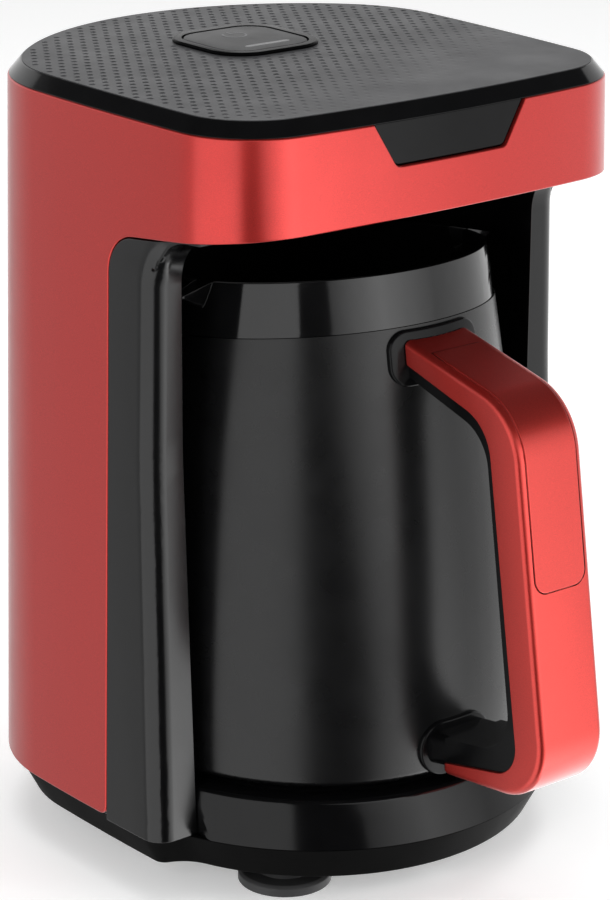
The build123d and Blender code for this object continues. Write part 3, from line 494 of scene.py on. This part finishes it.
def closeSheet(bm, top):
    # rims down to just above the lid, and a flat underside
    rim = [edge for edge in bm.edges if edge.is_boundary]
    skirt = bmesh.ops.extrude_edge_only(bm, edges=rim)["geom"]
    for part in skirt:
        if isinstance(part, bmesh.types.BMVert):
            part.co.z = top + dimples["under"]
    under = [part for part in skirt if isinstance(part, bmesh.types.BMEdge) and part.is_boundary]
    bmesh.ops.triangle_fill(bm, use_beauty=True, use_dissolve=False, edges=under)
    bmesh.ops.recalc_face_normals(bm, faces=bm.faces)


def lidSheet():
    top = topOf("lid")
    corners = planCorners("lid", top)
    walls = sheetWalls(corners)
    shift = Vector((0, (max(c.y for c in corners) + min(c.y for c in corners)) / 2, top + dimples["sheet"]))
    bm = cellGrid(shift)
    spare, cups = pickFaces(bm, walls, shift.y)
    dentCups(bm, cups)
    bmesh.ops.delete(bm, geom=spare, context="FACES")
    trimSheet(bm, walls, top)
    closeSheet(bm, top)
    return bm


sheet = showPiece(lidSheet(), "lidSheet", nodeBody["lid"], finishes["black_satin"],
                  crease=dimples["crease"])
print("lid sheet ready", len(sheet.data.polygons))

# power sign on the button's cap: an open ring and a bar, sunk in the cap and risen a little above it
sign = {"radius": 0.0033, "line": 0.00056, "rise": 0.00004, "sunk": 0.00006, "place": (0.0005, 0.0055),
        "open": 70, "steps": 40, "barLength": 0.95, "barMiddle": 0.72, "weld": 0.0000005}


def powerSign():
    reach, line = sign["radius"], sign["line"]
    thick, height = sign["rise"] + sign["sunk"], (sign["rise"] - sign["sunk"]) / 2
    middle = Vector((sign["place"][0], bezel["middle"] + sign["place"][1], topOf("start_button")))
    bm = bmesh.new()
    bmesh.ops.create_grid(bm, x_segments=1, y_segments=1, size=0.5)
    bmesh.ops.scale(bm, verts=bm.verts, vec=(line, thick, 1))
    bmesh.ops.rotate(bm, verts=bm.verts, matrix=Matrix.Rotation(pi / 2, 3, "X"))
    bmesh.ops.translate(bm, verts=bm.verts, vec=(reach, 0, height))
    bmesh.ops.rotate(bm, verts=bm.verts, matrix=Matrix.Rotation(radians(90 + sign["open"] / 2), 3, "Z"))
    bmesh.ops.reverse_faces(bm, faces=bm.faces)
    turned = bmesh.ops.duplicate(bm, geom=bm.verts[:] + bm.edges[:] + bm.faces[:])["geom"]
    bmesh.ops.spin(bm, geom=turned, axis=(0, 0, 1), cent=(0, 0, 0), angle=radians(360 - sign["open"]),
                   steps=sign["steps"])
    bmesh.ops.remove_doubles(bm, verts=bm.verts, dist=sign["weld"])
    bar = bmesh.ops.create_cube(bm, size=1)["verts"]
    bmesh.ops.scale(bm, verts=bar, vec=(line, reach * sign["barLength"], thick))
    bmesh.ops.translate(bm, verts=bar, vec=(0, reach * sign["barMiddle"], height))
    bmesh.ops.translate(bm, verts=bm.verts, vec=middle)
    bmesh.ops.recalc_face_normals(bm, faces=bm.faces)
    return bm


showPiece(powerSign(), "powerSign", nodeBody["start_button"], finishes["iconGrey"])
print("power sign ready")

# pouring lips of the pot, out from x = from: drawn in along the cone and made shallower, below a top edge
# that tilts with the rim and droops past start. A strip edge high under it keeps its depth, and keep and pull
# say how much stays of the depth below that strip and of the reach past the rim
lips = {"from": 0.03, "rim": 0.0475, "rimZ": 0.1672, "tilt": 0.1228, "start": 0.0454, "droop": 0.268,
        "edge": 0.0009, "deep": 0.0125, "keep": 0.55, "pull": 0.8, "cone": 0.103}
potMiddle = middleOf("pot_base_plate")


def lipTop(x, y):
    return lips["rimZ"] - (y - potMiddle) * lips["tilt"] - max(0, abs(x) - lips["start"]) * lips["droop"]


def drawLips(bm):
    bmesh.ops.triangulate(bm, faces=bm.faces)
    for vert in bm.verts:
        arm = Vector((vert.co.x, vert.co.y - potMiddle))
        below = lipTop(vert.co.x, vert.co.y) - vert.co.z
        if abs(vert.co.x) > lips["from"] and below < lips["deep"]:
            reach = arm.length
            if reach > lips["rim"]:
                reach = lips["rim"] + (reach - lips["rim"]) * lips["pull"]
            kept = below - max(0, below - lips["edge"]) * (1 - lips["keep"])
            arm = arm.normalized() * (reach - lips["cone"] * (below - kept))
            vert.co.x, vert.co.y = arm.x, arm.y + potMiddle
            vert.co.z = lipTop(vert.co.x, vert.co.y) - kept


# smooth copies of nodes, with edges softened by the width given; a piece without a finish takes its slot's
softened = {
    "outer_shell": {"piece": "redWrap", "edge": 0.0005},
    "front_panel": {"piece": "frontPanel", "edge": 0.0004, "finish": "panelGloss"},
    "lid": {"piece": "topCover", "edge": 0.00025, "finish": "lidGloss"},
    "button_bezel": {"piece": "buttonRing", "edge": 0.0, "finish": "ringGloss"},
    "start_button": {"piece": "buttonCap", "edge": 0.0, "finish": "capSatin"},
    "bay_housing": {"piece": "bayMoulding", "edge": 0.0003, "finish": "bayGloss"},
    "base_housing": {"piece": "baseDrum", "edge": 0.0, "finish": "drumGloss"},
    "bottom_cover": {"piece": "bottomSkirt", "edge": 0.0004},
    "pot_vessel": {"piece": "potVessel", "edge": 0.00015, "finish": "potGloss"},
    "pot_sleeve": {"piece": "potSleeve", "edge": 0.0},
    "upper_mount": {"piece": "upperMount", "edge": 0.0, "finish": "gripGloss"},
    "lower_mount": {"piece": "lowerMount", "edge": 0.0, "finish": "gripGloss"},
    "handle_core": {"piece": "handleLiner", "edge": 0.0, "finish": "gripGloss"},
    "handle_cover": {"piece": "handleCover", "edge": 0.0003},
    "grip_inlay": {"piece": "gripInlay", "edge": 0.0004},
    "foot_front_left": {"piece": "footFrontLeft", "edge": 0.0003},
    "foot_front_right": {"piece": "footFrontRight", "edge": 0.0003},
    "foot_rear_left": {"piece": "footRearLeft", "edge": 0.0003},
    "foot_rear_right": {"piece": "footRearRight", "edge": 0.0003},
    "cord_gland": {"piece": "cordGland", "edge": 0.0003},
}

for node, how in softened.items():
    finish = finishes[how.get("finish", nodeSlot[node])]
    bm = weldedCopy(node)
    if node == "pot_vessel":
        drawLips(bm)
    piece = showPiece(bm, how["piece"], nodeBody[node], finish, how["edge"])
    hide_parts(node)
print("welded copies ready")
